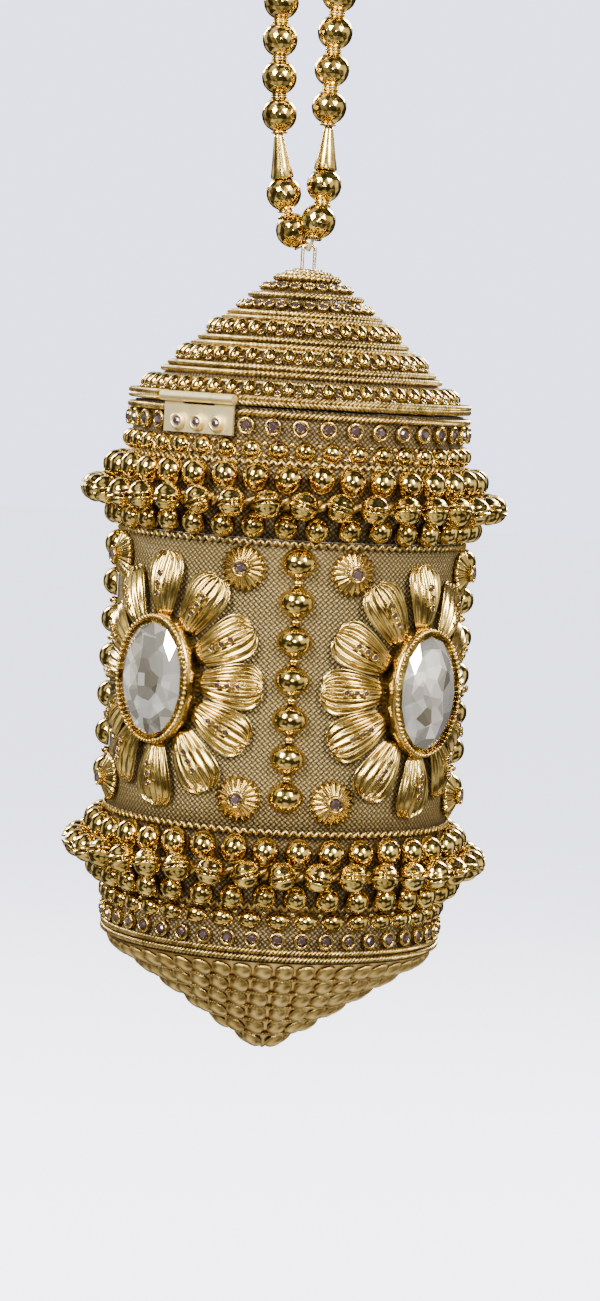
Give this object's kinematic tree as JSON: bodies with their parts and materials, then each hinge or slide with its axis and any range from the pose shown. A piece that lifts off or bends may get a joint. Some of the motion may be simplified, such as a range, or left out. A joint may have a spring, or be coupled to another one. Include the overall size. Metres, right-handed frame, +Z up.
{
  "type": "lantern-shaped evening purse",
  "caption": "Hard-case evening purse shaped like a lantern: hinged conical lid, beaded round body with oval crystal flowers, pointed base, beaded loop handle",
  "frame": {"origin": "inner top of the handle's loop, where a hook or a finger holds it, on the purse's own axis", "axes": "+Z up along the purse's axis; -Y is the front, with one bead column facing it; +X is to the right"},
  "size_m": [0.0958, 0.0958, 0.2844],
  "materials": {
    "string": "spun nylon thread",
    "gold_beads": "metallised antique gold",
    "gold_metal": "stamped brass, antique gold plate",
    "bright_brass": "polished",
    "wire": "drawn wire",
    "crystal": "clear faceted glass",
    "smoky_stone": "smoky faceted glass",
    "card": "moulded core",
    "lining": "satin lining",
    "metal_cloth": "woven metallic mesh",
    "padding": "thin wadding",
    "gold_cord": "twisted metallic cord",
    "satin_beads": "satin gold",
    "magnet": "nickel plated"
  },
  "bodies": {
    "handle": {"handle_string": "string", "handle_beads": "gold_beads", "handle_cones": "gold_metal"},
    "lid": {"lid_shell": "card", "lid_base_ring": "card", "lid_lining": "lining", "lid_eye_wire": "wire", "lid_eye_washer": "wire", "lid_magnets": "magnet", "lid_rim_rope": "gold_cord", "lid_ropes": "gold_cord", "lid_bead_strips": "gold_beads", "lid_cup_chain": "gold_metal", "crown_cup_chain": "gold_metal", "lid_cap_coil": "gold_cord", "hinge_lid_leaf": "bright_brass", "hinge_lid_rivets": "bright_brass"},
    "body": {"base_pad": "lining", "body_edge_cord": "gold_cord", "body_floor": "card", "body_lining": "lining", "body_magnets": "magnet", "body_rim_ring": "card", "body_tube": "card", "bottom_cone": "card", "collar_bead_strip": "gold_beads", "collar_cloth": "metal_cloth", "collar_cup_chain": "gold_metal", "column_beads": "gold_beads", "column_spacers": "gold_beads", "cone_bead_strips": "satin_beads", "cone_cords": "satin_beads", "flower_bezels": "gold_metal", "flower_crystals": "crystal", "flower_petals": "gold_metal", "hinge_body_leaf": "bright_brass", "hinge_pin": "bright_brass", "hinge_stud_cups": "gold_metal", "hinge_stud_stones": "smoky_stone", "lower_bead_strip": "gold_beads", "lower_cloth": "metal_cloth", "lower_cords": "gold_cord", "lower_cup_chain": "gold_metal", "lower_trim_beads": "gold_beads", "lower_trim_bells": "gold_beads", "lower_trim_cord": "gold_cord", "lower_trim_drops": "gold_beads", "panel_cloth": "metal_cloth", "panel_padding": "padding", "rosette_stones": "smoky_stone", "rosettes": "gold_metal", "upper_trim_beads": "gold_beads", "upper_trim_bells": "gold_beads", "upper_trim_cord": "gold_cord", "upper_trim_drops": "gold_beads", "zigzag_braids": "gold_cord"}
  },
  "joints": [
    {"name": "handle_swing", "type": "hinge", "parent": "handle", "child": "lid", "pos_m": [0, 0, -0.095], "axis": [1, 0, 0], "range_deg": [-50, 35]},
    {"name": "lid_hinge", "type": "hinge", "parent": "lid", "child": "body", "pos_m": [-0.02349, -0.03006, -0.1298], "axis": [-0.788, 0.6157, 0], "range_deg": [0, 105]}
  ]
}
